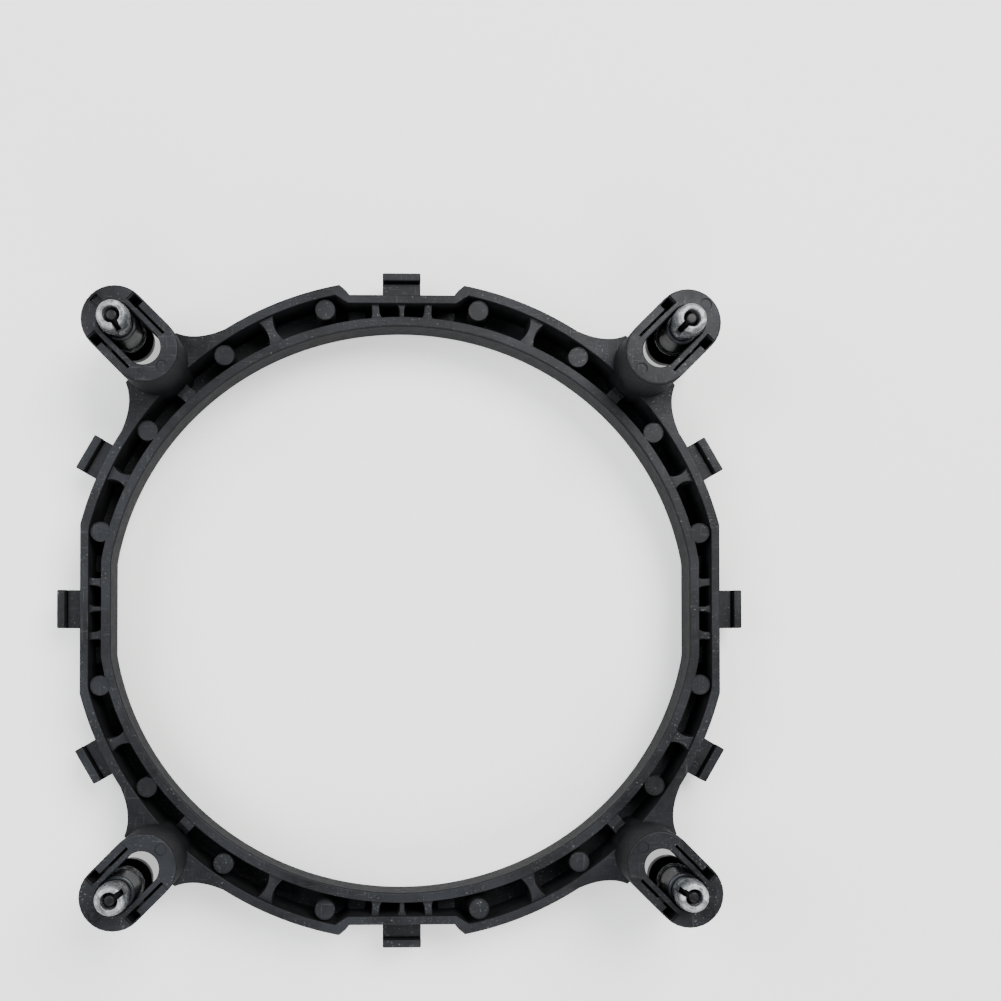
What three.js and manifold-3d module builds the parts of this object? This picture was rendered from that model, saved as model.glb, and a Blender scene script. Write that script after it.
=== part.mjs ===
// Round mounting ring that holds a processor cooler over its socket: a channelled black ring with
// eight hooks and four slotted feet, and in each foot a push-pin that can be set to three hole spacings.
// Millimetres, +Z up. The ring lies with its cooler side on z = 0 and its board side, with the
// push-pins, facing up. The origin is at the centre of the ring on the cooler side.

import * as THREE from 'three';
import { mergeVertices } from 'three/addons/utils/BufferGeometryUtils.js';
import Module from 'manifold-3d';

const wasm = await Module();
wasm.setup();

// ---- Driving dimensions ----------------------------------------------------------------------

// ring, seen from the board side
const RING_HEIGHT = 8.0;
const RING_OUTER_R = 48.5;
const SIDE_FLAT_X = 46.9;
const END_FLAT_Y = 46.15;
const END_FLAT_HALF_LENGTH = 7.7;
const END_RECESS_HALF_LENGTH = 9.2;
const END_FLAT_CORNER_SLOPE = 0.8125;
const OUTER_WALL = 1.5;
const FLAT_WALL = 1.35;
const HOLE_HALF_X = 43.0;
const HOLE_HALF_Y = 41.5;
const HOLE_FLAT_X = 42.4;
const INNER_WALL = 1.5;
const CHANNEL_FLOOR = 1.4;
const COOLER_FACE_Z = 0.4;
const SEAT_WIDTH = 3.3;
const RIDGE_WIDTH = 0.6;
const SHOULDER_Z = 1.6;
const HOLE_DRAFT = 0.5;
const HOLE_CHAMFER = 0.85;
const ANGLE_STEP = 3.75;

// round ejector pads and ribs in the channel
const PAD_CENTRE_R = 45.3;
const PAD_RADIUS = 1.45;
const PAD_TOP = 7.85;
const PAD_ANGLES = [14.3, 35.0, 55.0, 75.6];
const RIB_ANGLES = [25.0, 64.8];
const RIB_WAIST = 1.3;
const RIB_FLARE = 2.6;
const RIB_TOP = 7.4;
const FLAT_RIB_ANGLE = 5.0;
const FLAT_RIB_WAIST = 1.1;
const FLAT_RIB_FLARE = 2.1;
const MID_RIB_WAIST = 0.7;
const MID_RIB_FLARE = 1.7;
const LOW_BLOCK_ANGLE = 8.6;
const LOW_BLOCK_SIZE = 2.7;
const LOW_BLOCK_TOP = 3.4;
const LOW_BLOCK_START = 0.25;

// feet
const FOOT_ANGLES = { back_right: 45, back_left: 135, front_left: 225, front_right: 315 };
const FOOT_TOP = 16.4;
const FOOT_CENTRE_R = 53.75;
const FOOT_HALF_LENGTH = 7.65;
const FOOT_HALF_WIDTH = 4.7;
const WELL_WALL = 0.8;
const WELL_TOP = 9.0;
const DEEP_SLOT_TOP = 14.1;
const DEEP_SLOT = { from: 48.2, to: 59.3, halfWidth: 2.65 };
const FACE_SLOT = { from: 48.7, to: 58.95, halfWidth: 2.45 };
const STRIP = { from: 50.4, to: 57.5, inner: 3.2, depth: 0.3 };
const SLIT_WIDTH = 0.4;
const SLIT_END = 55.7;
const SLIT_BOTTOM = 10.5;
const NOTCH_WIDTH = 1.6;
const NOTCH_SKIN = 0.25;
const RIM_NOTCH_DEPTH = 2.0;
const FOOT_MARK_RS = [47.35, 60.25];
const FOOT_MARK_RADIUS = 0.8;
const FOOT_MARK_DEPTH = 0.15;
const SQUARE_MARK = { foot: 'back_left', side: 1.3, depth: 0.5 };
const ARM_BOTTOM = 1.2;
const ARM_SPREAD = 12.5;
const ARM_ROOT_INSET = 1.3;
const ARM_END = { u: 51.9, v: 5.2 };
const ARM_BEND = { u: 49.0, v: 6.4 };
const FOOT_RIB_HALF_WIDTH = 1.02;
const FOOT_RIB_TOP = 5.0;
const FOOT_BLOCK = { from: 43.3, to: 44.8 };

// hooks for the cooler's clip
const HOOK_BOTTOM = 1.0;
const HOOK_RAMP_TOP = 2.6;
const HOOK_FACE = 4.8;
const HOOK_GROOVE_FLOOR = 4.0;
const HOOK_LIP_TOP = 5.8;
const HOOK_GROOVE = 0.2;
const FLAT_HOOK = { width: 5.65, reach: 3.9, lip: 1.15 };
const ROUND_HOOK = { width: 5.6, reach: 3.75, lip: 1.3, direction: 30, offset: 3.15 };
const HOOK_ROOT = 0.6;

// push-pins; each hole pattern is a square, so its holes lie at side / sqrt(2) from the centre
const HOLE_PATTERNS = [72, 75, 80];
const PIN_R = 80 / Math.SQRT2;
const PIN_SEGMENTS = 24;
const BUSH = { outerR: 2.45, innerR: 1.95, bottom: 8.9, top: 13.9, chamfer: 0.25 };
const SLEEVE = {
  flangeR: 2.75, flangeBottom: 8.2, flangeTop: 8.65, neckR: 1.75, shoulder: 14.1,
  bodyR: 1.95, barbBottom: 16.6, barbTop: 17.1, barbR: 2.3, top: 18.9, topR: 2.05, boreR: 1.15,
};
// the sleeve is split on the side that faces the middle of the ring, give or take its own turn
const SLEEVE_SLIT = { width: 0.85, bottom: 14.8 };
const SLEEVE_TURNS = { back_right: 0, back_left: -20, front_left: -11, front_right: 18 };
const PLUNGER = {
  headR: 3.1, headBottom: 3.4, headTop: 5.0, headChamfer: 0.25, shaftR: 0.8,
  taperStart: 17.8, tipR: 0.7, top: 18.6,
};
const EAR = { halfLength: 3.6, width: 1.4, bottom: 3.7, top: 4.7 };
const DRIVER_SLOT = { length: 3.2, width: 0.7, depth: 0.7 };

const CUT = 0.2; // how far a cutting solid runs past the face that it cuts

// ---- Materials -------------------------------------------------------------------------------

const blackPlastic = { color: 0x252629, roughness: 0.55, metalness: 0.0 };
const guidePlastic = { color: 0x33363b, roughness: 0.35, metalness: 0.0 };
const pinPlastic = { color: 0x1b1c1e, roughness: 0.45, metalness: 0.0 };
const nylon = { color: 0xcfd0cc, roughness: 0.3, metalness: 0.0 };

// ---- Solids ----------------------------------------------------------------------------------

function toSolid(geometry) {
  geometry.deleteAttribute('normal');
  geometry.deleteAttribute('uv');
  const welded = mergeVertices(geometry, 1e-5);
  return new wasm.Manifold(new wasm.Mesh({
    numProp: 3,
    vertProperties: new Float32Array(welded.attributes.position.array),
    triVerts: new Uint32Array(welded.index.array),
  }));
}

function toGeometry(solid) {
  const mesh = solid.getMesh();
  const geometry = new THREE.BufferGeometry();
  geometry.setAttribute('position', new THREE.BufferAttribute(new Float32Array(mesh.vertProperties), 3));
  geometry.setIndex(new THREE.BufferAttribute(new Uint32Array(mesh.triVerts), 1));
  geometry.computeVertexNormals();
  return geometry;
}

function union(solids) {
  return solids.reduce((sum, solid) => sum.add(solid));
}

// A shape in the XY plane, extruded from z = bottom to z = top.
function plate(shape, bottom, top, curveSegments = 8) {
  const geometry = new THREE.ExtrudeGeometry(shape, {
    depth: top - bottom, bevelEnabled: false, curveSegments,
  });
  geometry.translate(0, 0, bottom);
  return toSolid(geometry);
}

function block(x0, x1, y0, y1, z0, z1) {
  const geometry = new THREE.BoxGeometry(x1 - x0, y1 - y0, z1 - z0);
  geometry.translate((x0 + x1) / 2, (y0 + y1) / 2, (z0 + z1) / 2);
  return toSolid(geometry);
}

function rod(x, y, radius, bottom, top, segments = 20) {
  const geometry = new THREE.CylinderGeometry(radius, radius, top - bottom, segments);
  geometry.rotateX(Math.PI / 2);
  geometry.translate(x, y, (bottom + top) / 2);
  return toSolid(geometry);
}

// A solid turned about the Z axis; the profile lists [radius, z] from the axis back to the axis.
function turned(profile) {
  const points = profile.map(([r, z]) => new THREE.Vector2(r, z));
  const geometry = new THREE.LatheGeometry(points, PIN_SEGMENTS);
  geometry.rotateX(Math.PI / 2);
  return toSolid(geometry);
}

function turn(solid, degrees) {
  return solid.rotate([0, 0, degrees]);
}

// ---- Outlines of the ring, as distance from the centre in a direction ------------------------

const radians = THREE.MathUtils.degToRad;

// A circle cut by a flat on the left and right, and by a shallow recess at the front and back.
function rimRadius(angle, circle, flatX, flatY, flatHalfLength) {
  const across = Math.abs(Math.cos(angle));
  const along = Math.abs(Math.sin(angle));
  let radius = Math.min(circle, flatX / Math.max(across, 1e-9));
  if (along > across) {
    const onFlat = flatY / along;
    if (onFlat * across <= flatHalfLength) {
      return onFlat;
    }
    const slope = END_FLAT_CORNER_SLOPE;
    const onCorner = (flatHalfLength - slope * flatY) / (across - slope * along);
    radius = Math.min(radius, onCorner > 0 ? onCorner : radius);
  }
  return radius;
}

function outerOutline(inset) {
  return (angle) => rimRadius(
    angle, RING_OUTER_R - inset, SIDE_FLAT_X - inset, END_FLAT_Y - inset, END_FLAT_HALF_LENGTH);
}

// The seat for the cooler and the ridge round it, which keep their width all round the hole.
function seatOutline(width) {
  return (angle) => Math.min(holeOutline(width)(angle), outerOutline(0)(angle));
}

function channelOuterOutline(angle) {
  return rimRadius(
    angle, RING_OUTER_R - OUTER_WALL, SIDE_FLAT_X - FLAT_WALL, END_FLAT_Y - FLAT_WALL,
    END_FLAT_HALF_LENGTH + FLAT_WALL / 2);
}

// The hole and the wall round it: an ellipse with a flat on the left and right.
function holeOutline(grow) {
  return (angle) => {
    const a = HOLE_HALF_X + grow;
    const b = HOLE_HALF_Y + grow;
    const ellipse = 1 / Math.hypot(Math.cos(angle) / a, Math.sin(angle) / b);
    const flat = (HOLE_FLAT_X + grow) / Math.max(Math.abs(Math.cos(angle)), 1e-9);
    return Math.min(ellipse, flat);
  };
}

function mirroredAngles(degrees) {
  return [degrees, 180 - degrees, 180 + degrees, 360 - degrees];
}

// Directions at which the outlines are sampled: an even step, and each corner of the flats.
function outlineAngles() {
  const quarter = [];
  for (let angle = 0; angle < 90; angle += ANGLE_STEP) {
    quarter.push(angle);
  }
  quarter.push(THREE.MathUtils.radToDeg(Math.acos(SIDE_FLAT_X / RING_OUTER_R)));
  quarter.push(90 - THREE.MathUtils.radToDeg(Math.atan(END_FLAT_HALF_LENGTH / END_FLAT_Y)));
  quarter.push(90 - THREE.MathUtils.radToDeg(Math.asin(END_RECESS_HALF_LENGTH / RING_OUTER_R)));
  const holeFlatHalf = HOLE_HALF_Y * Math.sqrt(1 - (HOLE_FLAT_X / HOLE_HALF_X) ** 2);
  quarter.push(THREE.MathUtils.radToDeg(Math.atan2(holeFlatHalf, HOLE_FLAT_X)));
  const angles = new Set();
  for (const angle of quarter) {
    for (const mirrored of mirroredAngles(angle)) {
      angles.add(mirrored % 360);
    }
  }
  angles.add(90);
  angles.add(270);
  return [...angles].sort((a, b) => a - b).map(radians);
}

const ANGLES = outlineAngles();

// A solid disc lofted through outlines at rising heights.
function disc(levels) {
  const count = ANGLES.length;
  const positions = [];
  const triangles = [];
  for (const { z, outline } of levels) {
    for (const angle of ANGLES) {
      const radius = outline(angle);
      positions.push(radius * Math.cos(angle), radius * Math.sin(angle), z);
    }
  }
  const bottomCentre = positions.length / 3;
  positions.push(0, 0, levels[0].z);
  const topCentre = bottomCentre + 1;
  positions.push(0, 0, levels[levels.length - 1].z);
  const topStart = (levels.length - 1) * count;
  for (let i = 0; i < count; i += 1) {
    const next = (i + 1) % count;
    triangles.push(bottomCentre, next, i);
    triangles.push(topCentre, topStart + i, topStart + next);
    for (let level = 0; level + 1 < levels.length; level += 1) {
      const low = level * count;
      const high = low + count;
      triangles.push(low + i, low + next, high + next);
      triangles.push(low + i, high + next, high + i);
    }
  }
  const geometry = new THREE.BufferGeometry();
  geometry.setAttribute('position', new THREE.BufferAttribute(new Float32Array(positions), 3));
  geometry.setIndex(triangles);
  return toSolid(geometry);
}

// ---- Ring ------------------------------------------------------------------------------------

function ringBody() {
  const body = disc([
    { z: COOLER_FACE_Z, outline: seatOutline(SEAT_WIDTH + RIDGE_WIDTH) },
    { z: SHOULDER_Z, outline: outerOutline(0) },
    { z: RING_HEIGHT, outline: outerOutline(0) },
  ]);
  const ridge = disc([
    { z: 0, outline: seatOutline(SEAT_WIDTH + RIDGE_WIDTH) },
    { z: COOLER_FACE_Z + CUT, outline: seatOutline(SEAT_WIDTH + RIDGE_WIDTH) },
  ]).subtract(disc([
    { z: -CUT, outline: seatOutline(SEAT_WIDTH) },
    { z: COOLER_FACE_Z + 2 * CUT, outline: seatOutline(SEAT_WIDTH) },
  ]));
  const channel = disc([
    { z: CHANNEL_FLOOR, outline: channelOuterOutline },
    { z: RING_HEIGHT + CUT, outline: channelOuterOutline },
  ]).subtract(disc([
    { z: CHANNEL_FLOOR - CUT, outline: holeOutline(INNER_WALL) },
    { z: RING_HEIGHT + 2 * CUT, outline: holeOutline(INNER_WALL) },
  ]));
  return body.add(ridge).subtract(channel);
}

function ringHole() {
  return disc([
    { z: -CUT, outline: holeOutline(HOLE_DRAFT + HOLE_CHAMFER) },
    { z: COOLER_FACE_Z, outline: holeOutline(HOLE_DRAFT + HOLE_CHAMFER) },
    { z: COOLER_FACE_Z + HOLE_CHAMFER, outline: holeOutline(HOLE_DRAFT) },
    { z: RING_HEIGHT, outline: holeOutline(0) },
    { z: RING_HEIGHT + CUT, outline: holeOutline(0) },
  ]);
}

// A rib across the channel along +X, waisted in the middle and flared where it meets a wall.
function ribShape(from, to, waist, innerFlare, outerFlare) {
  const mid = (from + to) / 2;
  const shape = new THREE.Shape();
  shape.moveTo(from, -innerFlare / 2);
  shape.quadraticCurveTo((from + mid) / 2, -waist / 2, mid, -waist / 2);
  shape.quadraticCurveTo((mid + to) / 2, -waist / 2, to, -outerFlare / 2);
  shape.lineTo(to, outerFlare / 2);
  shape.quadraticCurveTo((mid + to) / 2, waist / 2, mid, waist / 2);
  shape.quadraticCurveTo((from + mid) / 2, waist / 2, from, innerFlare / 2);
  return shape;
}

function channelSpan(degrees) {
  const angle = radians(degrees);
  return { from: holeOutline(INNER_WALL)(angle), to: channelOuterOutline(angle) };
}

function channelRib(degrees, waist, innerFlare, outerFlare) {
  const span = channelSpan(degrees);
  const shape = ribShape(span.from - CUT, span.to + CUT, waist, innerFlare, outerFlare);
  return turn(plate(shape, CHANNEL_FLOOR - CUT, RIB_TOP, 3), degrees);
}

function channelRibs() {
  const ribs = [];
  for (const base of RIB_ANGLES) {
    for (const degrees of mirroredAngles(base)) {
      ribs.push(channelRib(degrees, RIB_WAIST, RIB_FLARE, RIB_FLARE));
    }
  }
  for (const flat of [0, 90, 180, 270]) {
    ribs.push(channelRib(flat, MID_RIB_WAIST, MID_RIB_WAIST, MID_RIB_FLARE));
    for (const side of [-1, 1]) {
      ribs.push(channelRib(flat + side * FLAT_RIB_ANGLE, FLAT_RIB_WAIST, FLAT_RIB_FLARE, FLAT_RIB_WAIST));
      ribs.push(lowBlock(flat + side * LOW_BLOCK_ANGLE));
    }
  }
  return ribs;
}

function lowBlock(degrees) {
  const span = channelSpan(degrees);
  const half = LOW_BLOCK_SIZE / 2;
  const inner = span.from + (span.to - span.from) * LOW_BLOCK_START;
  return turn(block(inner, span.to + CUT, -half, half, CHANNEL_FLOOR - CUT, LOW_BLOCK_TOP), degrees);
}

function padRods(bottom, top) {
  const rods = [];
  for (const base of PAD_ANGLES) {
    for (const degrees of mirroredAngles(base)) {
      const angle = radians(degrees);
      rods.push(rod(
        PAD_CENTRE_R * Math.cos(angle), PAD_CENTRE_R * Math.sin(angle), PAD_RADIUS, bottom, top));
    }
  }
  return rods;
}

// ---- Hooks -----------------------------------------------------------------------------------

// A hook pointing along +X from x = root, with a ramp below and a grooved catch above.
function hook(root, size) {
  const tip = root + size.reach;
  const lip = tip - size.lip;
  const profile = new THREE.Shape();
  profile.moveTo(root - HOOK_ROOT, HOOK_BOTTOM);
  profile.lineTo(root + HOOK_ROOT, HOOK_BOTTOM);
  profile.lineTo(tip, HOOK_RAMP_TOP);
  profile.lineTo(tip, HOOK_LIP_TOP);
  profile.lineTo(lip, HOOK_LIP_TOP);
  profile.lineTo(lip, HOOK_GROOVE_FLOOR);
  profile.lineTo(lip - HOOK_GROOVE, HOOK_GROOVE_FLOOR);
  profile.lineTo(lip - HOOK_GROOVE, HOOK_FACE);
  profile.lineTo(root - HOOK_ROOT, HOOK_FACE);
  const geometry = new THREE.ExtrudeGeometry(profile, { depth: size.width, bevelEnabled: false });
  geometry.translate(0, 0, -size.width / 2);
  geometry.rotateX(Math.PI / 2);
  return toSolid(geometry);
}

function hooks() {
  const all = [
    hook(SIDE_FLAT_X, FLAT_HOOK),
    turn(hook(END_FLAT_Y, FLAT_HOOK), 90),
    turn(hook(SIDE_FLAT_X, FLAT_HOOK), 180),
    turn(hook(END_FLAT_Y, FLAT_HOOK), 270),
  ];
  const { direction, offset } = ROUND_HOOK;
  const root = Math.sqrt(RING_OUTER_R ** 2 - offset ** 2);
  for (const [side, degrees] of [[-1, direction], [1, 180 - direction], [-1, 180 + direction],
    [1, 360 - direction]]) {
    const shifted = hook(root, ROUND_HOOK).translate([0, side * offset, 0]);
    all.push(turn(shifted, degrees));
  }
  return all;
}

// ---- Feet, each built along +X and turned into place ------------------------------------------

function stadium(from, to, halfWidth) {
  const shape = new THREE.Shape();
  shape.absarc(to - halfWidth, 0, halfWidth, -Math.PI / 2, Math.PI / 2);
  shape.absarc(from + halfWidth, 0, halfWidth, Math.PI / 2, 1.5 * Math.PI);
  return shape;
}

function armShape() {
  const spread = radians(ARM_SPREAD);
  const inner = RING_OUTER_R - ARM_ROOT_INSET;
  const at = (radius, angle) => [radius * Math.cos(angle), radius * Math.sin(angle)];
  const shape = new THREE.Shape();
  shape.moveTo(...at(inner, -spread));
  shape.lineTo(...at(RING_OUTER_R, -spread));
  shape.quadraticCurveTo(ARM_BEND.u, -ARM_BEND.v, ARM_END.u, -ARM_END.v);
  shape.lineTo(ARM_END.u, ARM_END.v);
  shape.quadraticCurveTo(ARM_BEND.u, ARM_BEND.v, ...at(RING_OUTER_R, spread));
  shape.lineTo(...at(inner, spread));
  shape.absarc(0, 0, inner, spread, -spread, true);
  return shape;
}

function footBody() {
  const shell = plate(
    stadium(FOOT_CENTRE_R - FOOT_HALF_LENGTH, FOOT_CENTRE_R + FOOT_HALF_LENGTH, FOOT_HALF_WIDTH),
    0, FOOT_TOP);
  const arm = plate(armShape(), ARM_BOTTOM, RING_HEIGHT, 6);
  const rib = block(
    FOOT_BLOCK.from, FOOT_CENTRE_R - FOOT_HALF_LENGTH + WELL_WALL / 2,
    -FOOT_RIB_HALF_WIDTH, FOOT_RIB_HALF_WIDTH,
    CHANNEL_FLOOR - CUT, FOOT_RIB_TOP);
  const lug = block(
    FOOT_BLOCK.from, FOOT_BLOCK.to, -FOOT_RIB_HALF_WIDTH, FOOT_RIB_HALF_WIDTH,
    CHANNEL_FLOOR - CUT, PAD_TOP);
  return union([shell, arm, rib, lug]);
}

// The shallow round mark of an ejector, or the deeper square one of the mould's insert.
function footMark(radius, isSquare) {
  if (isSquare) {
    const half = SQUARE_MARK.side / 2;
    return block(radius - half, radius + half, -half, half, FOOT_TOP - SQUARE_MARK.depth, FOOT_TOP + CUT);
  }
  return rod(radius, 0, FOOT_MARK_RADIUS, FOOT_TOP - FOOT_MARK_DEPTH, FOOT_TOP + CUT, 16);
}

// Everything that is cut out of one foot: the well for the pin's head on the cooler side, the slot
// that the pin slides in, the slits that free its two springy rails, the notches and the marks.
function footCuts(place) {
  const wellInset = FOOT_HALF_LENGTH - WELL_WALL;
  const wellHalfWidth = FOOT_HALF_WIDTH - WELL_WALL;
  const cuts = [
    plate(stadium(FOOT_CENTRE_R - wellInset, FOOT_CENTRE_R + wellInset, wellHalfWidth), -CUT, WELL_TOP),
    plate(stadium(DEEP_SLOT.from, DEEP_SLOT.to, DEEP_SLOT.halfWidth), WELL_TOP - CUT, DEEP_SLOT_TOP),
    plate(stadium(FACE_SLOT.from, FACE_SLOT.to, FACE_SLOT.halfWidth), DEEP_SLOT_TOP - CUT, FOOT_TOP + CUT),
  ];
  const [innerMark, outerMark] = FOOT_MARK_RS;
  cuts.push(footMark(innerMark, false));
  cuts.push(footMark(outerMark, place === SQUARE_MARK.foot));
  for (const side of [-1, 1]) {
    const band = (u0, u1, v0, v1, z0, z1) => {
      const [low, high] = side > 0 ? [v0, v1] : [-v1, -v0];
      return block(u0, u1, low, high, z0, z1);
    };
    cuts.push(band(STRIP.from, STRIP.to, STRIP.inner, FOOT_HALF_WIDTH + CUT,
      FOOT_TOP - STRIP.depth, FOOT_TOP + CUT));
    cuts.push(band(STRIP.from, SLIT_END + CUT, STRIP.inner, STRIP.inner + SLIT_WIDTH,
      SLIT_BOTTOM, FOOT_TOP + CUT));
    cuts.push(band(SLIT_END, SLIT_END + NOTCH_WIDTH, STRIP.inner, FOOT_HALF_WIDTH - NOTCH_SKIN,
      WELL_TOP - CUT, FOOT_TOP + CUT));
    for (const pattern of HOLE_PATTERNS) {
      const middle = pattern / Math.SQRT2;
      cuts.push(band(middle - NOTCH_WIDTH / 2, middle + NOTCH_WIDTH / 2,
        wellHalfWidth - CUT, FOOT_HALF_WIDTH + CUT, -CUT, RIM_NOTCH_DEPTH));
    }
  }
  return union(cuts);
}

function ringFrame() {
  const feet = Object.entries(FOOT_ANGLES);
  const solid = union([
    ringBody(),
    ...channelRibs(),
    ...padRods(CHANNEL_FLOOR - CUT, RING_HEIGHT),
    ...hooks(),
    ...feet.map(([, degrees]) => turn(footBody(), degrees)),
  ]);
  return solid
    .subtract(ringHole())
    .subtract(union(padRods(PAD_TOP, RING_HEIGHT + CUT)))
    .subtract(union(feet.map(([place, degrees]) => turn(footCuts(place), degrees))));
}

// ---- Push-pin pieces, each on the Z axis -------------------------------------------------------

function guideBush() {
  const { outerR, innerR, bottom, top, chamfer } = BUSH;
  const outside = turned([
    [0, bottom], [outerR, bottom], [outerR, top - chamfer], [outerR - chamfer, top], [0, top]]);
  return outside.subtract(rod(0, 0, innerR, bottom - CUT, top + CUT, PIN_SEGMENTS));
}

function expandingSleeve() {
  const s = SLEEVE;
  const outside = turned([
    [0, s.flangeBottom],
    [s.flangeR, s.flangeBottom],
    [s.flangeR, s.flangeTop],
    [s.neckR, s.flangeTop],
    [s.neckR, s.shoulder],
    [s.bodyR, s.shoulder],
    [s.bodyR, s.barbBottom],
    [s.barbR, s.barbBottom],
    [s.barbR, s.barbTop],
    [s.topR, s.top],
    [0, s.top],
  ]);
  const slit = SLEEVE_SLIT.width / 2;
  return outside
    .subtract(rod(0, 0, s.boreR, s.flangeBottom - CUT, s.top + CUT, PIN_SEGMENTS))
    .subtract(block(-s.flangeR, 0, -slit, slit, SLEEVE_SLIT.bottom, s.top + CUT));
}

function plunger() {
  const p = PLUNGER;
  const outside = turned([
    [0, p.headBottom],
    [p.headR - p.headChamfer, p.headBottom],
    [p.headR, p.headBottom + p.headChamfer],
    [p.headR, p.headTop],
    [p.shaftR, p.headTop],
    [p.shaftR, p.taperStart],
    [p.tipR, p.top],
    [0, p.top],
  ]);
  const ears = block(-EAR.width / 2, EAR.width / 2, -EAR.halfLength, EAR.halfLength, EAR.bottom, EAR.top);
  const half = DRIVER_SLOT.length / 2;
  const slot = block(-half, half, -DRIVER_SLOT.width / 2, DRIVER_SLOT.width / 2,
    p.headBottom - CUT, p.headBottom + DRIVER_SLOT.depth);
  return outside.add(ears).subtract(slot);
}

// ---- Assembly ----------------------------------------------------------------------------------

function part(name, solid, finish) {
  const mesh = new THREE.Mesh(toGeometry(solid), new THREE.MeshStandardMaterial(finish));
  mesh.name = name;
  return mesh;
}

const cpuHolder = new THREE.Group();
cpuHolder.add(part('ring_frame', ringFrame(), blackPlastic));

for (const [place, degrees] of Object.entries(FOOT_ANGLES)) {
  const foot = new THREE.Group();
  foot.rotation.z = radians(degrees);
  const pin = new THREE.Group();
  pin.position.x = PIN_R;
  pin.add(part(`guide_bush_${place}`, guideBush(), guidePlastic));
  const sleeve = part(`expanding_sleeve_${place}`, expandingSleeve(), nylon);
  sleeve.rotation.z = radians(SLEEVE_TURNS[place]);
  pin.add(sleeve);
  pin.add(part(`plunger_${place}`, plunger(), pinPlastic));
  foot.add(pin);
  cpuHolder.add(foot);
}

export default cpuHolder;
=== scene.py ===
# Round plastic mounting ring for a processor cooler, lying with its board side up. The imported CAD
# model is the frame; the meshes here are the finely moulded versions of the same pieces.
import math

import bmesh
import bpy
import numpy as np
from mathutils import Matrix, Vector


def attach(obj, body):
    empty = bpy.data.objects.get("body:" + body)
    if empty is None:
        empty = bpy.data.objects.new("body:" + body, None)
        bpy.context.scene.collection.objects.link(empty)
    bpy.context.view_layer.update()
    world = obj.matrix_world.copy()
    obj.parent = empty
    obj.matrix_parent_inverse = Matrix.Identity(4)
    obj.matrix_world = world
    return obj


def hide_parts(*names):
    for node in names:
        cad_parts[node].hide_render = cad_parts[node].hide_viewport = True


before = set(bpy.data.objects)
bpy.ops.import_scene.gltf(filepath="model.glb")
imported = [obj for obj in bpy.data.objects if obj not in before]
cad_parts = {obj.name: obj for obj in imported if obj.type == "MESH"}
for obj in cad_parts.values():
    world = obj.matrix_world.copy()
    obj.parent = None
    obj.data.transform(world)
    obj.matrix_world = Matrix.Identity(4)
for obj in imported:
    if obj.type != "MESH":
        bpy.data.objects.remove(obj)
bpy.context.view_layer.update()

MM = 0.001
NEARLY_ZERO = 1e-9

# ---- Dimensions in millimetres and degrees, the same as the CAD model's --------------------------

RING_HEIGHT = 8.0
RING_OUTER_R = 48.5
SIDE_FLAT_X = 46.9
END_FLAT_Y = 46.15
END_FLAT_HALF_LENGTH = 7.7
END_RECESS_HALF_LENGTH = 9.2
END_FLAT_CORNER_SLOPE = 0.8125
OUTER_WALL = 1.5
FLAT_WALL = 1.35
HOLE_HALF_X = 43.0
HOLE_HALF_Y = 41.5
HOLE_FLAT_X = 42.4
INNER_WALL = 1.5
CHANNEL_FLOOR = 1.4
COOLER_FACE_Z = 0.4
SEAT_WIDTH = 3.3
RIDGE_WIDTH = 0.6
SHOULDER_Z = 1.6
HOLE_DRAFT = 0.5
HOLE_CHAMFER = 0.85

PAD_CENTRE_R = 45.3
PAD_RADIUS = 1.45
PAD_TOP = 7.85
PAD_ANGLES = [14.3, 35.0, 55.0, 75.6]
RIB_ANGLES = [25.0, 64.8]
RIB_WAIST = 1.3
RIB_FLARE = 2.6
RIB_TOP = 7.4
FLAT_RIB_ANGLE = 5.0
FLAT_RIB_WAIST = 1.1
FLAT_RIB_FLARE = 2.1
MID_RIB_WAIST = 0.7
MID_RIB_FLARE = 1.7
LOW_BLOCK_ANGLE = 8.6
LOW_BLOCK_SIZE = 2.7
LOW_BLOCK_TOP = 3.4
LOW_BLOCK_START = 0.25  # share of the channel's width that stays free on its inner side

FOOT_ANGLES = {"back_right": 45, "back_left": 135, "front_left": 225, "front_right": 315}
FOOT_TOP = 16.4
FOOT_CENTRE_R = 53.75
FOOT_HALF_LENGTH = 7.65
FOOT_HALF_WIDTH = 4.7
FOOT_START = FOOT_CENTRE_R - FOOT_HALF_LENGTH
FOOT_END = FOOT_CENTRE_R + FOOT_HALF_LENGTH
WELL_WALL = 0.8
WELL_TOP = 9.0
DEEP_SLOT_TOP = 14.1
# each slot's inner end, outer end and half width
DEEP_SLOT = (48.2, 59.3, 2.65)
FACE_SLOT = (48.7, 58.95, 2.45)
STRIP_FROM = 50.4
STRIP_TO = 57.5
STRIP_INNER = 3.2
STRIP_DEPTH = 0.3
SLIT_WIDTH = 0.4
SLIT_END = 55.7
SLIT_BOTTOM = 10.5
NOTCH_WIDTH = 1.6
NOTCH_SKIN = 0.25
RIM_NOTCH_DEPTH = 2.0
FOOT_MARK_RS = [47.35, 60.25]
FOOT_MARK_RADIUS = 0.8
FOOT_MARK_DEPTH = 0.15
SQUARE_MARK = {"foot": "back_left", "side": 1.3, "depth": 0.5}
ARM_BOTTOM = 1.2
ARM_SPREAD = 12.5
ARM_ROOT_INSET = 1.3
ARM_END = (51.9, 5.2)
ARM_BEND = (49.0, 6.4)
FOOT_RIB_HALF_WIDTH = 1.02
FOOT_RIB_TOP = 5.0
FOOT_BLOCK_FROM = 43.3
FOOT_BLOCK_TO = 44.8

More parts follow.
